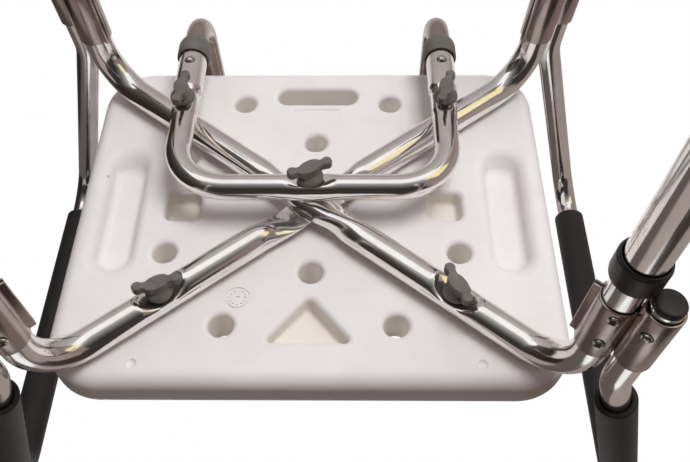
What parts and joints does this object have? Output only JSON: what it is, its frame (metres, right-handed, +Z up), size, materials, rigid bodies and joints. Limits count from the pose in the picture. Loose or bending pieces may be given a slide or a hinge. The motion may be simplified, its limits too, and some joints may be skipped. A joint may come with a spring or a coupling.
{
  "type": "shower chair",
  "caption": "Shower chair with a moulded white seat and back on crossed aluminium tubes, telescopic legs with rubber feet, lift-off foam-grip arms and wing knobs under the seat.",
  "frame": {"origin": "on the floor, at the middle of the whole chair's width and depth", "axes": "+Z up, the front of the chair towards -Y, the sitter's left towards +X"},
  "size_m": [0.604, 0.4775, 0.7118],
  "materials": {
    "white_moulded_plastic": "white blow-moulded plastic with a soft sheen",
    "polished_aluminium": "polished tube",
    "satin_aluminium": "satin, anodised",
    "bright_steel": "bright plated steel",
    "grey_plastic": "dark grey moulded plastic",
    "black_plastic": "black moulded plastic",
    "black_foam": "closed-cell black foam",
    "grey_rubber": "dull grey rubber"
  },
  "bodies": {
    "frame": {"seat_panel": "white_moulded_plastic", "cross_tube_front_left": "polished_aluminium", "cross_tube_front_right": "polished_aluminium", "backrest_bracket": "polished_aluminium", "arm_connector_front_left": "satin_aluminium", "arm_connector_front_right": "satin_aluminium", "arm_connector_rear_left": "satin_aluminium", "arm_connector_rear_right": "satin_aluminium", "rivet_upper_front_left": "bright_steel", "rivet_upper_front_right": "bright_steel", "rivet_upper_rear_left": "bright_steel", "rivet_upper_rear_right": "bright_steel", "rivet_lower_front_left": "bright_steel", "rivet_lower_front_right": "bright_steel", "rivet_lower_rear_left": "bright_steel", "rivet_lower_rear_right": "bright_steel", "back_collar_left": "grey_plastic", "back_collar_right": "grey_plastic"},
    "leg_front_left": {"outer_leg_front_left": "polished_aluminium", "leg_ferrule_front_left": "black_plastic", "rubber_foot_front_left": "grey_rubber"},
    "leg_button_front_left": {"leg_clip_front_left": "bright_steel"},
    "leg_front_right": {"outer_leg_front_right": "polished_aluminium", "leg_ferrule_front_right": "black_plastic", "rubber_foot_front_right": "grey_rubber"},
    "leg_button_front_right": {"leg_clip_front_right": "bright_steel"},
    "leg_rear_left": {"outer_leg_rear_left": "polished_aluminium", "leg_ferrule_rear_left": "black_plastic", "rubber_foot_rear_left": "grey_rubber"},
    "leg_button_rear_left": {"leg_clip_rear_left": "bright_steel"},
    "leg_rear_right": {"outer_leg_rear_right": "polished_aluminium", "leg_ferrule_rear_right": "black_plastic", "rubber_foot_rear_right": "grey_rubber"},
    "leg_button_rear_right": {"leg_clip_rear_right": "bright_steel"},
    "arm_left": {"arm_tube_left": "polished_aluminium", "arm_grip_left": "black_foam", "arm_plug_front_left": "black_plastic", "arm_plug_rear_left": "black_plastic"},
    "arm_button_left": {"arm_clip_left": "bright_steel"},
    "arm_right": {"arm_tube_right": "polished_aluminium", "arm_grip_right": "black_foam", "arm_plug_front_right": "black_plastic", "arm_plug_rear_right": "black_plastic"},
    "arm_button_right": {"arm_clip_right": "bright_steel"},
    "backrest": {"backrest_tube": "satin_aluminium", "back_panel": "white_moulded_plastic", "panel_screw_left": "bright_steel", "panel_screw_right": "bright_steel"},
    "back_button_left": {"back_clip_left": "bright_steel"},
    "back_button_right": {"back_clip_right": "bright_steel"},
    "knob_front_left": {"wing_knob_front_left": "grey_plastic", "knob_stud_front_left": "bright_steel"},
    "knob_front_right": {"wing_knob_front_right": "grey_plastic", "knob_stud_front_right": "bright_steel"},
    "knob_rear_left": {"wing_knob_rear_left": "grey_plastic", "knob_stud_rear_left": "bright_steel"},
    "knob_rear_right": {"wing_knob_rear_right": "grey_plastic", "knob_stud_rear_right": "bright_steel"},
    "knob_centre": {"wing_knob_centre": "grey_plastic", "knob_stud_centre": "bright_steel"}
  },
  "joints": [
    {"name": "leg_slide_front_left", "type": "slide", "parent": "frame", "child": "leg_front_left", "axis": [0.0847, 0, -0.9964], "range_m": [0, 0.1], "deforming": ["leg_clip_front_left"]},
    {"name": "leg_button_press_front_left", "type": "slide", "parent": "frame", "child": "leg_button_front_left", "axis": [-0.9964, 0, -0.0847], "range_m": [0, 0.0045], "stiffness_N_per_m": 1500, "deforming": ["leg_clip_front_left"]},
    {"name": "leg_slide_front_right", "type": "slide", "parent": "frame", "child": "leg_front_right", "axis": [-0.0847, 0, -0.9964], "range_m": [0, 0.1], "deforming": ["leg_clip_front_right"]},
    {"name": "leg_button_press_front_right", "type": "slide", "parent": "frame", "child": "leg_button_front_right", "axis": [0.9964, 0, -0.0847], "range_m": [0, 0.0045], "stiffness_N_per_m": 1500, "deforming": ["leg_clip_front_right"]},
    {"name": "leg_slide_rear_left", "type": "slide", "parent": "frame", "child": "leg_rear_left", "axis": [0.0847, 0, -0.9964], "range_m": [0, 0.1], "deforming": ["leg_clip_rear_left"]},
    {"name": "leg_button_press_rear_left", "type": "slide", "parent": "frame", "child": "leg_button_rear_left", "axis": [-0.9964, 0, -0.0847], "range_m": [0, 0.0045], "stiffness_N_per_m": 1500, "deforming": ["leg_clip_rear_left"]},
    {"name": "leg_slide_rear_right", "type": "slide", "parent": "frame", "child": "leg_rear_right", "axis": [-0.0847, 0, -0.9964], "range_m": [0, 0.1], "deforming": ["leg_clip_rear_right"]},
    {"name": "leg_button_press_rear_right", "type": "slide", "parent": "frame", "child": "leg_button_rear_right", "axis": [0.9964, 0, -0.0847], "range_m": [0, 0.0045], "stiffness_N_per_m": 1500, "deforming": ["leg_clip_rear_right"]},
    {"name": "arm_lift_left", "type": "slide", "parent": "frame", "child": "arm_left", "axis": [-0.0847, 0, 0.9964], "range_m": [0, 0.05], "deforming": ["arm_clip_left"]},
    {"name": "arm_button_press_left", "type": "slide", "parent": "arm_left", "child": "arm_button_left", "axis": [0.6135, 0.788, 0.0521], "range_m": [0, 0.0045], "stiffness_N_per_m": 1500, "deforming": ["arm_clip_left"]},
    {"name": "arm_lift_right", "type": "slide", "parent": "frame", "child": "arm_right", "axis": [0.0847, 0, 0.9964], "range_m": [0, 0.05], "deforming": ["arm_clip_right"]},
    {"name": "arm_button_press_right", "type": "slide", "parent": "arm_right", "child": "arm_button_right", "axis": [-0.6135, 0.788, 0.0521], "range_m": [0, 0.0045], "stiffness_N_per_m": 1500, "deforming": ["arm_clip_right"]},
    {"name": "backrest_pull", "type": "slide", "parent": "frame", "child": "backrest", "axis": [0, 1, 0], "range_m": [0, 0.075], "deforming": ["back_clip_left", "back_clip_right"]},
    {"name": "back_button_press_left", "type": "slide", "parent": "backrest", "child": "back_button_left", "axis": [0, 0, 1], "range_m": [0, 0.0045], "stiffness_N_per_m": 1500, "deforming": ["back_clip_left"]},
    {"name": "back_button_press_right", "type": "slide", "parent": "backrest", "child": "back_button_right", "axis": [0, 0, 1], "range_m": [0, 0.0045], "stiffness_N_per_m": 1500, "deforming": ["back_clip_right"]},
    {"name": "knob_turn_front_left", "type": "hinge", "parent": "frame", "child": "knob_front_left", "pos_m": [0.117, -0.14152, 0.3237], "axis": [0, 0, 1], "continuous": true},
    {"name": "knob_turn_front_right", "type": "hinge", "parent": "frame", "child": "knob_front_right", "pos_m": [-0.117, -0.14152, 0.3237], "axis": [0, 0, 1], "continuous": true},
    {"name": "knob_turn_rear_left", "type": "hinge", "parent": "frame", "child": "knob_rear_left", "pos_m": [0.117, 0.04592, 0.2956], "axis": [0, 0, 1], "continuous": true},
    {"name": "knob_turn_rear_right", "type": "hinge", "parent": "frame", "child": "knob_rear_right", "pos_m": [-0.117, 0.04592, 0.2956], "axis": [0, 0, 1], "continuous": true},
    {"name": "knob_turn_centre", "type": "hinge", "parent": "frame", "child": "knob_centre", "pos_m": [0, -0.0478, 0.2956], "axis": [0, 0, 1], "continuous": true}
  ]
}
